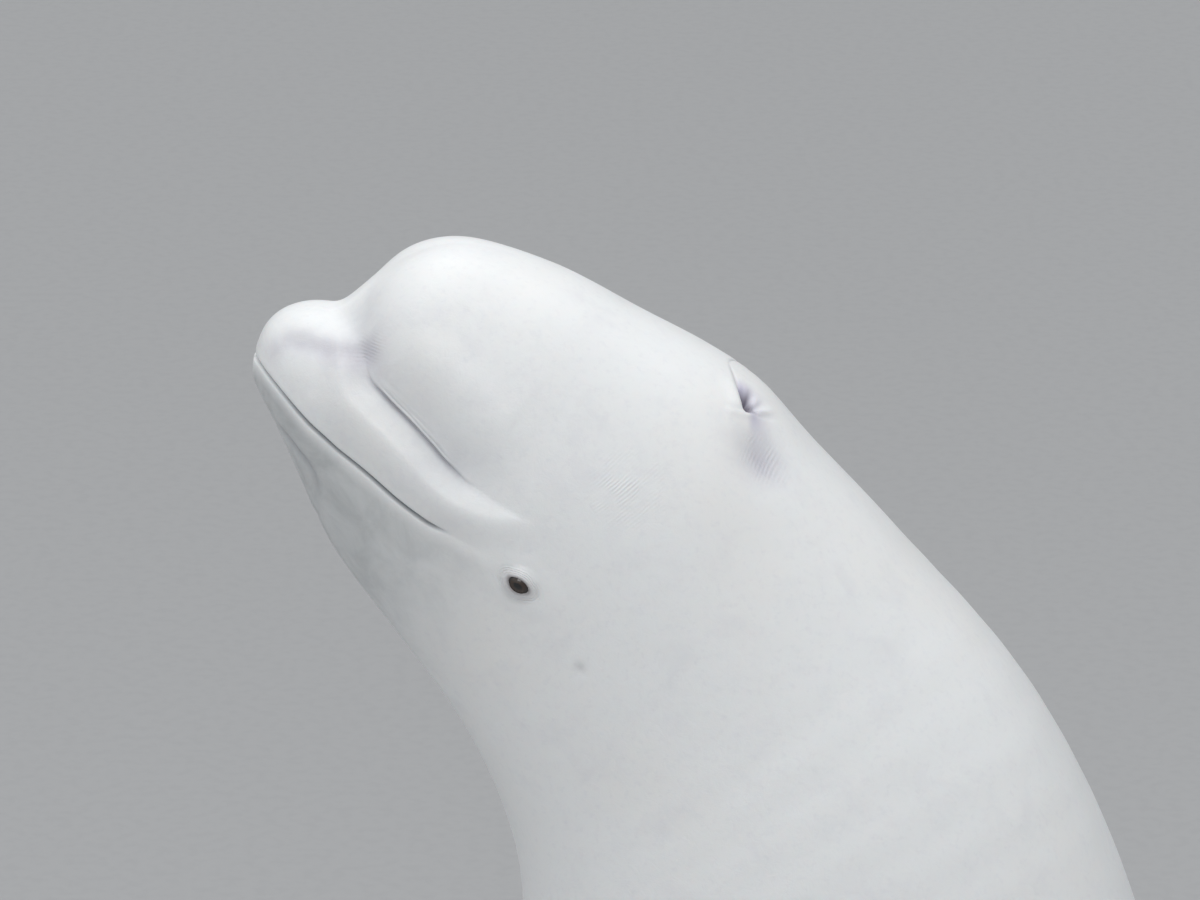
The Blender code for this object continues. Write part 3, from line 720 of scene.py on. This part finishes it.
def closedTube(grid, mark=None):
    # quads between the rings; a fan closes each end, and an end ring that is one point is left out
    rings, around = grid.shape[:2]
    pointed = [bool(np.ptp(grid[end], axis=0).max() < 1e-6) for end in (0, -1)]
    rows = slice(int(pointed[0]), rings - int(pointed[1]))
    body = grid[rows]
    points = np.concatenate([body.reshape(-1, 3), grid[:1].mean(axis=1), grid[-1:].mean(axis=1)])
    total = body.shape[0] * around
    index = np.arange(total).reshape(body.shape[:2])
    a, b = index[:-1], index[1:]
    quads = np.stack([a, np.roll(a, -1, 1), np.roll(b, -1, 1), b], -1).reshape(-1, 4)
    faces = np.concatenate([quads, fanFaces(np.roll(index[0], -1), index[0], total),
                            fanFaces(index[-1], np.roll(index[-1], -1), total + 1)])
    if mark is None:
        return points, faces
    return points, faces, np.concatenate([mark[rows].ravel(), np.array(pointed, float)])


def outwardFaces(mesh):
    bm = bmesh.new()
    bm.from_mesh(mesh)
    bmesh.ops.recalc_face_normals(bm, faces=bm.faces[:])
    bm.to_mesh(mesh)
    bm.free()


jointForm = {"subdivideWithin": 0.050, "longEdge": 0.010, "smoothWithin": 0.046, "passes": 60, "weld": 0.0004,
             "pull": 0.9, "pullPower": 1.5}


def placeKeys(points):
    # the bytes of each point's coordinates, as one value that can be sorted and looked up
    whole = np.ascontiguousarray(np.asarray(points, np.float32) + np.float32(0))
    return whole.view(np.dtype((np.void, 12))).ravel()


def meshPoints(mesh):
    points = np.empty(len(mesh.vertices) * 3, np.float32)
    mesh.vertices.foreach_get("co", points)
    return points.reshape(-1, 3)


def distanceToAny(points, others):
    # smallest distance from each point to a set of others, in blocks of 2000 points at once
    return np.concatenate([np.sqrt(((block[:, None] - others[None]) ** 2).sum(-1).min(1))
                           for block in np.array_split(points, max(1, len(points) // 2000))])


def makeSkin():
    points, faces, marks = makeBody()
    skin = addObject("whaleSkin", meshFrom("whaleSkin", points, faces))
    outwardFaces(skin.data)
    known = [(points, marks)]
    print("body skin made:", len(points), "points")

    # the fins are joined to it by a union, which leaves every old point where it was
    fins = []
    flipper, flipperMark = makeFlipper()
    mirrored = flipper * np.array([1, -1, 1])
    for name, shape in (("flipperLeft", (flipper, flipperMark)), ("flipperRight", (mirrored, flipperMark)),
                        ("flukes", makeFlukes())):
        finPoints, finFaces, finMark = closedTube(*shape)
        fin = addObject(name, meshFrom(name, finPoints, finFaces))
        outwardFaces(fin.data)
        fins.append(fin)
        known.append((finPoints, {"finEdge": finMark}))
        union = skin.modifiers.new(name, "BOOLEAN")
        union.operation, union.solver, union.object = "UNION", "EXACT", fin
    joined = bpy.data.meshes.new_from_object(skin.evaluated_get(bpy.context.evaluated_depsgraph_get()))
    skin.modifiers.clear()
    for fin in fins:
        bpy.data.objects.remove(fin, do_unlink=True)
    skin.data = joined
    joined.name = "whaleSkin"

    # old points take their marks back by their place; the new ones are the seam
    points = meshPoints(joined)
    oldKeys = np.concatenate([placeKeys(places) for places, _ in known])
    order = np.argsort(oldKeys)
    found = np.clip(np.searchsorted(oldKeys[order], placeKeys(points)), 0, len(order) - 1)
    source = order[found]
    isOld = oldKeys[source] == placeKeys(points)
    for name in list(marks) + ["finEdge"]:
        values = np.concatenate([np.asarray(m.get(name, np.zeros(len(p))), float) for p, m in known])
        setMarks(joined, {name: np.where(isOld, values[source], 0)})
    seam = points[~isOld]
    print("fins joined along", len(seam), "seam points")
    softenSeam(joined, seam)
    return skin


def closeTo(bm, seam):
    places = np.array([v.co for v in bm.verts])
    bm.verts.index_update()
    return distanceToAny(places, seam) < jointForm["subdivideWithin"]


def longEdges(bm, close):
    return [e for e in bm.edges if all(close[v.index] for v in e.verts) and e.calc_length() > jointForm["longEdge"]]


def softenSeam(mesh, seam):
    # long edges near the seam are halved, then each point there moves towards the mean of its neighbours,
    # the more the nearer it is to the seam
    j = jointForm
    bm = bmesh.new()
    bm.from_mesh(mesh)
    bmesh.ops.triangulate(bm, faces=[f for f in bm.faces if len(f.verts) > 4])
    for _ in range(2):
        close = closeTo(bm, seam)
        beside = {f for e in longEdges(bm, close) for f in e.link_faces if len(f.verts) > 3}
        bmesh.ops.triangulate(bm, faces=list(beside))
        bmesh.ops.subdivide_edges(bm, edges=longEdges(bm, close), cuts=1)
        bmesh.ops.triangulate(bm, faces=[f for f in bm.faces if len(f.verts) > 4])
    close = closeTo(bm, seam)
    bmesh.ops.remove_doubles(bm, verts=[v for v in bm.verts if close[v.index]], dist=j["weld"])
    bm.to_mesh(mesh)
    bm.free()
    points = meshPoints(mesh).astype(float)
    pull = np.clip(1 - distanceToAny(points, seam) / j["smoothWithin"], 0, 1) ** j["pullPower"] * j["pull"]
    edges = np.empty(len(mesh.edges) * 2, np.int32)
    mesh.edges.foreach_get("vertices", edges)
    edges = edges.reshape(-1, 2)
    moving = pull > 0
    edges = edges[moving[edges].any(axis=1)]
    ends, others = np.concatenate([edges, edges[:, ::-1]]).T
    count = np.maximum(np.bincount(ends, minlength=len(points)), 1)
    for _ in range(j["passes"]):
        mean = np.stack([np.bincount(ends, points[others, k], len(points)) / count for k in range(3)], 1)
        points[moving] += (pull[:, None] * (mean - points))[moving]
    mesh.vertices.foreach_set("co", points.astype(np.float32).ravel())
    mesh.update()
    mesh.shade_smooth()


skin = makeSkin()


# ---- materials
def fill(tree, node, inputs):
    # each input is given a value, or the socket that feeds it
    for key, value in inputs.items():
        if isinstance(value, bpy.types.NodeSocket):
            tree.links.new(value, node.inputs[key])
        else:
            node.inputs[key].default_value = value


def addNode(tree, kind, inputs={}, **settings):
    node = tree.nodes.new("ShaderNode" + kind)
    for name, value in settings.items():
        setattr(node, name, value)
    fill(tree, node, inputs)
    return node


def math2(tree, operation, first, second, **settings):
    return addNode(tree, "Math", {0: first, 1: second}, operation=operation, **settings).outputs[0]


def times(tree, first, *others):
    for value in others:
        first = math2(tree, "MULTIPLY", first, value)
    return first


def rootOfSquares(tree, first, second):
    squares = [math2(tree, "POWER", value, 2.0) for value in (first, second)]
    return math2(tree, "POWER", math2(tree, "ADD", *squares), 0.5)


def markSocket(tree, name, share=1.0):
    value = addNode(tree, "Attribute", attribute_name=name).outputs["Fac"]
    return times(tree, value, share) if share != 1.0 else value


def noiseAt(tree, place, scale, detail=3.0, roughness=0.5, distortion=0.0):
    return addNode(tree, "TexNoise", {"Vector": place, "Scale": scale, "Detail": detail, "Roughness": roughness,
                                      "Distortion": distortion}).outputs["Fac"]


def spanned(tree, value, low, high, toLow=0.0, toHigh=1.0):
    return addNode(tree, "MapRange", {0: value, 1: low, 2: high, 3: toLow, 4: toHigh},
                   interpolation_type="SMOOTHSTEP").outputs[0]


def tinted(tree, below, amount, color):
    # colour below, with that amount of another colour over it
    return addNode(tree, "Mix", {0: amount, 6: below, 7: (*color, 1)}, data_type="RGBA").outputs[2]


def layered(tree, base, *layers):
    # base colour with tints over it: value, where it starts and is full, how much then, tint
    color = addNode(tree, "RGB").outputs[0]
    color.default_value = (*base, 1)
    for value, low, high, toLow, toHigh, tint in layers:
        color = tinted(tree, color, spanned(tree, value, low, high, toLow, toHigh), tint)
    return color


def finish(name):
    made = bpy.data.materials.new(name)
    made.use_nodes = True
    tree = made.node_tree
    return made, tree, tree.nodes["Principled BSDF"], addNode(tree, "TexCoord").outputs["Object"]


def bumped(tree, height, strength=1.0, distance=1.0):
    return addNode(tree, "Bump", {"Strength": strength, "Distance": distance, "Height": height}).outputs[0]


skinFinish = {
    "white": (0.870, 0.885, 0.890), "shade": (0.760, 0.765, 0.800), "warm": (0.880, 0.872, 0.855),
    "roughness": (0.34, 0.52), "coat": 0.22, "coatRoughness": 0.18, "subsurface": 0.12, "subsurfaceScale": 0.012,
    "subsurfaceRadius": (1.0, 0.6, 0.45),
    # mark, amount, colour laid over the white
    # painted shade along the valley on the beak's side
    # painted shade on the lower jaw
    "tints": [("jaw", 0.88, (0.520, 0.540, 0.546)), ("beakValley", 0.60, (0.580, 0.570, 0.625)),
              # painted shade where the crease begins
              ("creaseFrontShade", 0.90, (0.540, 0.520, 0.575)), ("creaseShade", 0.42, (0.600, 0.610, 0.640)),
              # the hollow and its wrinkles: a lavender tone that is partly painted shade
              ("hollow", 0.30, (0.600, 0.590, 0.640)), ("hollowWrinkles", 0.80, (0.540, 0.530, 0.590)),
              # painted shade in the crease's sharp fold
              ("slitTint", 0.92, (0.520, 0.500, 0.630)), ("crease", 0.55, (0.330, 0.320, 0.370)),
              # painted shade in the fold behind the chin
              # painted shade in the mouth's groove
              ("throat", 0.60, (0.360, 0.370, 0.390)), ("mouth", 0.92, (0.200, 0.220, 0.250)),
              # painted shade in the ear's small pit
              # painted shade inside the blowhole
              ("slit", 0.92, (0.080, 0.068, 0.105)), ("ear", 0.3, (0.45, 0.44, 0.46)),
              # painted shade where the lids meet the eyeball
              ("eye", 0.35, (0.520, 0.500, 0.520)), ("lid", 0.75, (0.230, 0.210, 0.220)),
              ("ridge", 0.35, (0.520, 0.520, 0.550)), ("finEdge", 0.80, (0.400, 0.390, 0.400)),
              # a painted highlight on the lip
              ("lipHighlight", 0.5, (0.960, 0.960, 0.960))],
    "broken": ["creaseFrontShade", "hollowWrinkles", "beakValley", "creaseShade", "jaw", "ridge", "finEdge", "eye"],
    # patch, turn about Y in degrees, metres from line to line, depth
    "wrinkles": [("beakWrinkles", -6.0, 0.0034, 0.00045), ("neckWrinkles", 38.0, 0.0035, 0.00036),
                 ("hollowWrinkles", 50.0, 0.0046, 0.00048)],
    # noise scale, detail, roughness, distortion, depth
    "bumps": [(520.0, 2.0, 0.5, 0.0, 0.00012), (75.0, 5.0, 0.62, 0.8, 0.00045), (14.0, 2.0, 0.5, 0.0, 0.0012)],
    "eyeRings": 30.0, "eyeRingWander": 14.0, "eyeRingDepth": 0.0007,
}


def makeSkinFinish():
    f = skinFinish
    made, tree, shader, place = finish("whiteSkin")
    cloud = noiseAt(tree, place, 5.0, 4.0, 0.55)
    patch = noiseAt(tree, place, 22.0, 4.0, 0.6, 0.4)
    fine = noiseAt(tree, place, 130.0, 4.0, 0.6)
    color = layered(tree, f["white"], (cloud, 0.45, 0.75, 0.0, 0.55, f["warm"]),
                    (patch, 0.46, 0.78, 0.0, 0.38, f["shade"]), (fine, 0.50, 0.76, 0.0, 0.32, f["shade"]))
    rough = spanned(tree, patch, 0.3, 0.7, 0.70, 1.15)  # breaks up the edges of the tints
    for name, amount, tint in f["tints"]:
        mark = markSocket(tree, name, amount)
        if name in f["broken"]:
            mark = math2(tree, "MULTIPLY", mark, rough, use_clamp=True)
        color = tinted(tree, color, mark, tint)

    heights = [times(tree, noiseAt(tree, place, *noise), depth) for *noise, depth in f["bumps"]]
    for name, turn, gap, depth in f["wrinkles"]:
        turned = addNode(tree, "Mapping", {"Vector": place, "Rotation": (0, math.radians(turn), 0)}).outputs[0]
        lines = addNode(tree, "TexWave", {"Vector": turned, "Scale": 2 * math.pi / (20 * gap), "Distortion": 4.6,
                                          "Detail": 2.0, "Detail Scale": 0.35}, bands_direction="Z").outputs["Fac"]
        gaps = spanned(tree, noiseAt(tree, place, 60.0, 2.0), 0.35, 0.65, 0.15, 1.0)
        heights.append(times(tree, lines, markSocket(tree, name), gaps, depth))
    # ring folds round the eye: sine of its mark, strongest half way out
    eye = markSocket(tree, "eye")
    phase = math2(tree, "ADD", times(tree, eye, f["eyeRings"]), times(tree, patch, f["eyeRingWander"]))
    rings = math2(tree, "SINE", phase, 0.0)
    heights.append(times(tree, rings, eye, math2(tree, "SUBTRACT", 1.0, eye), f["eyeRingDepth"]))
    height = heights[0]
    for other in heights[1:]:
        height = math2(tree, "ADD", height, other)
    fill(tree, shader, {"Base Color": color, "Normal": bumped(tree, height),
                        "Roughness": spanned(tree, patch, 0.3, 0.75, *f["roughness"]),
                        "Coat Weight": f["coat"], "Coat Roughness": f["coatRoughness"],
                        "Subsurface Weight": f["subsurface"], "Subsurface Scale": f["subsurfaceScale"],
                        "Subsurface Radius": f["subsurfaceRadius"]})
    return made


skin.data.materials.clear()
skin.data.materials.append(makeSkinFinish())
print("skin material made")
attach(skin, "root")
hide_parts("head", "lower_jaw", "neck", "chest", "trunk", "tail_stock", "flipper_left", "flipper_right",
            "fluke_left", "fluke_right")


# ---- eyeballs: a ball whose clear front stands out a little, with a dark iris and a wide pupil
ballForm = {"radius": 0.0188, "frontRise": 0.0009, "frontWidth": 24.0, "rings": 40, "around": 48,
            "iris": (0.055, 0.030, 0.018), "irisRim": (0.012, 0.009, 0.008), "white": (0.30, 0.26, 0.24),
            "pupil": (0.003, 0.003, 0.004), "irisEdge": 30.0, "pupilWide": 15.0, "pupilHigh": 8.5}


def makeEyeball(name, side):
    # distance from the centre is the radius plus a bell of the angle from the front
    b = ballForm
    centre, outward, along, up = eyeAxes()
    angle, turn = np.meshgrid(np.radians(np.linspace(0, 180, b["rings"] + 1)),
                              np.linspace(0, 2 * math.pi, b["around"], endpoint=False), indexing="ij")
    reach = b["radius"] + b["frontRise"] * bell(np.degrees(angle), b["frontWidth"])
    grid = centre + reach[..., None] * (np.cos(angle)[..., None] * outward + np.sin(angle)[..., None]
                                        * (np.cos(turn)[..., None] * along + np.sin(turn)[..., None] * up))
    mesh = meshFrom(name, *closedTube(grid * np.array([1, side, 1])))
    outwardFaces(mesh)
    mesh.shade_smooth()
    fromCentre = meshPoints(mesh) * np.array([1, side, 1]) - centre
    for mark, axis in (("eyeAcross", along), ("eyeHigh", up)):  # degrees off the front
        setMarks(mesh, {mark: np.degrees(np.arcsin(np.clip(fromCentre @ axis / reach.max(), -1, 1)))})
    return addObject(name, mesh)


def makeEyeFinish():
    b = ballForm
    made, tree, shader, place = finish("wetEye")
    across, high = markSocket(tree, "eyeAcross"), markSocket(tree, "eyeHigh")
    off = rootOfSquares(tree, across, high)
    oval = rootOfSquares(tree, math2(tree, "DIVIDE", across, b["pupilWide"]),
                         math2(tree, "DIVIDE", high, b["pupilHigh"]))
    streaks = noiseAt(tree, place, 900.0, 4.0, 0.7)
    edge = b["irisEdge"]
    color = layered(tree, b["irisRim"], (streaks, 0.35, 0.7, 0.2, 1.0, b["iris"]),
                    (off, edge - 6, edge, 0.0, 1.0, b["irisRim"]), (off, edge, edge + 14, 0.0, 1.0, b["white"]),
                    (oval, 1.08, 0.92, 0.0, 1.0, b["pupil"]))
    fill(tree, shader, {"Base Color": color, "Roughness": spanned(tree, streaks, 0.3, 0.7, 0.10, 0.22),
                        "Coat Weight": 1.0, "Coat Roughness": 0.03, "IOR": 1.38})
    return made


eyeFinish = makeEyeFinish()
for side, sign in (("Left", 1), ("Right", -1)):
    ball = makeEyeball("eyeball" + side, sign)
    ball.data.materials.append(eyeFinish)
    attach(ball, "root")
    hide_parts("eye_" + side.lower())
print("eyes made")


# ---- the stand: satin paint on the board, brushed steel on the feet and rods
standFinish = {"paint": (0.060, 0.066, 0.074), "paintWorn": (0.110, 0.118, 0.128), "paintRoughness": (0.38, 0.58),
               "steel": (0.56, 0.57, 0.58), "steelDark": (0.40, 0.41, 0.43), "steelRoughness": (0.22, 0.40)}


def makePaint():
    f = standFinish
    made, tree, shader, place = finish("boardPaint")
    cloud, grain = noiseAt(tree, place, 3.0, 5.0, 0.6), noiseAt(tree, place, 420.0, 3.0)
    color = layered(tree, f["paint"], (cloud, 0.4, 0.8, 0.0, 0.45, f["paintWorn"]),
                    (grain, 0.55, 0.75, 0.0, 0.30, f["paintWorn"]))
    fill(tree, shader, {"Base Color": color, "Roughness": spanned(tree, cloud, 0.3, 0.7, *f["paintRoughness"]),
                        "Normal": bumped(tree, grain, 0.35, 0.0004)})
    return made


def makeSteel():
    f = standFinish
    made, tree, shader, place = finish("brushedSteel")
    # noise squeezed along Z makes the fine turning lines of brushed steel
    squeezed = addNode(tree, "Mapping", {"Vector": place, "Scale": (3.0, 3.0, 900.0)}).outputs[0]
    lines, smear = noiseAt(tree, squeezed, 1.0, 3.0, 0.6), noiseAt(tree, place, 18.0, 4.0, 0.6)
    color = layered(tree, f["steel"], (lines, 0.35, 0.75, 0.0, 0.5, f["steelDark"]),
                    (smear, 0.5, 0.8, 0.0, 0.3, f["steelDark"]))
    fill(tree, shader, {"Base Color": color, "Roughness": spanned(tree, smear, 0.3, 0.75, *f["steelRoughness"]),
                        "Metallic": 1.0, "Normal": bumped(tree, lines, 0.25, 0.0002)})
    return made


boardPaint, brushedSteel = makePaint(), makeSteel()
nodes["stand_base"].data.materials.clear()
nodes["stand_base"].data.materials.append(boardPaint)

turnedForm = {"around": 96, "rod": 0.036, "rodEdge": 0.002, "discThick": 0.014, "fillet": 0.040,
              "roundOver": 0.003, "sharpAbove": 50}


def turned(name, node, profile):
    # the profile's radius and height carried round the upright line through the middle of the node's box
    low, high = (np.array(corner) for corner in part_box(node))
    radius, height = profile(low, high)
    turn = np.linspace(0, 2 * math.pi, turnedForm["around"], endpoint=False)
    grid = np.stack([(low[0] + high[0]) / 2 + radius[:, None] * np.cos(turn),
                     (low[1] + high[1]) / 2 + radius[:, None] * np.sin(turn), height[:, None] + 0 * turn], -1)
    mesh = meshFrom(name, *closedTube(grid))
    outwardFaces(mesh)
    mesh.shade_smooth()
    mesh.set_sharp_from_angle(angle=math.radians(turnedForm["sharpAbove"]))
    mesh.materials.append(brushedSteel)
    piece = addObject(name, mesh)
    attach(piece, "root")
    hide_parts(node)


def footProfile(low, high):
    # flat underside, rounded rim, flat top, then a quarter circle up to the rod
    f = turnedForm
    wide, small = (high[0] - low[0]) / 2, f["roundOver"]
    bend = np.linspace(0, math.pi / 2, 9)
    rim, top = low[2] + f["discThick"], low[2] + f["discThick"] + f["fillet"]
    radius = np.concatenate([[0], wide - small + small * np.sin(bend), wide - small + small * np.cos(bend),
                             f["rod"] + f["fillet"] * (1 - np.sin(bend)), [0]])
    height = np.concatenate([[low[2]], low[2] + small * (1 - np.cos(bend)), rim - small + small * np.sin(bend),
                             top - f["fillet"] * np.cos(bend), [top]])
    return radius, height


def rodProfile(low, high):
    # straight sides with a small bevel at both ends
    wide, small = (high[0] - low[0]) / 2, turnedForm["rodEdge"]
    return (np.array([0, wide - small, wide, wide, wide - small, 0]),
            np.array([low[2], low[2], low[2] + small, high[2] - small, high[2], high[2]]))


for number in "12":
    turned("foot" + number, "stand_foot_" + number, footProfile)
    turned("rod" + number, "stand_rod_" + number, rodProfile)
print("stand finished")


# ---- studio: a wide pale floor, light from all round and two soft lamps
studioForm = {"reach": 150.0, "rings": 24, "around": 96, "firstRing": 0.5, "floorColor": (0.480, 0.484, 0.490),
              "floorSpot": (0.462, 0.466, 0.473), "floorRoughness": 0.75, "sky": (0.97, 0.985, 1.0),
              "skyStrength": 0.765, "horizon": (0.50, 0.504, 0.510), "skyRange": (0.02, 0.42),
              "lampPlace": (0.3, 1.0, 8.0), "lampAim": (0.0, 0.0, 3.2), "lampSize": 5.0, "lampPower": 84.0,
              "keyPlace": (-1.8, -5.5, 7.5), "keyAim": (-0.1, 0.0, 3.3), "keySize": 3.4, "keyPower": 75.0}


def makeFloor():
    # a flat disc: radius times the cosine and sine of the turn
    f = studioForm
    radius = np.linspace(f["firstRing"], math.sqrt(f["reach"]), f["rings"])[:, None] ** 2
    turn = np.linspace(0, 2 * math.pi, f["around"], endpoint=False)
    grid = np.stack([radius * np.cos(turn), radius * np.sin(turn), 0 * radius * turn], -1)
    index = np.arange(f["rings"] * f["around"]).reshape(f["rings"], f["around"])
    a, b = index[:-1], index[1:]
    quads = np.stack([a, b, np.roll(b, -1, 1), np.roll(a, -1, 1)], -1).reshape(-1, 4)
    faces = np.concatenate([quads, fanFaces(index[0], np.roll(index[0], -1), index.size)])
    floor = addObject("floor", meshFrom("floor", np.concatenate([grid.reshape(-1, 3), [[0, 0, 0]]]), faces))
    made, tree, shader, place = finish("floorPaint")
    color = layered(tree, f["floorColor"], (noiseAt(tree, place, 30.0, 4.0), 0.4, 0.7, 0.0, 1.0, f["floorSpot"]))
    fill(tree, shader, {"Base Color": color, "Roughness": f["floorRoughness"]})
    floor.data.materials.append(made)


def makeLight():
    f = studioForm
    world = bpy.data.worlds.new("studioLight")
    bpy.context.scene.world = world
    world.use_nodes = True
    # floor grey at the level of the horizon, white higher up
    tree = world.node_tree
    direction = addNode(tree, "TexCoord").outputs["Generated"]
    up = addNode(tree, "SeparateXYZ", {0: direction}).outputs["Z"]
    color = layered(tree, f["horizon"], (up, *f["skyRange"], 0.0, 1.0, f["sky"]))
    fill(tree, tree.nodes["Background"], {"Color": color, "Strength": f["skyStrength"]})
    for name in ("lamp", "key"):
        data = bpy.data.lights.new(name, "AREA")
        data.size, data.energy = f[name + "Size"], f[name + "Power"]
        lamp = addObject(name, data)
        lamp.location = f[name + "Place"]
        aim = Vector(f[name + "Aim"]) - Vector(f[name + "Place"])
        lamp.rotation_euler = aim.to_track_quat("-Z", "Y").to_euler()
    bpy.context.scene.view_settings.view_transform = "Standard"


makeFloor()
makeLight()
print("studio made")
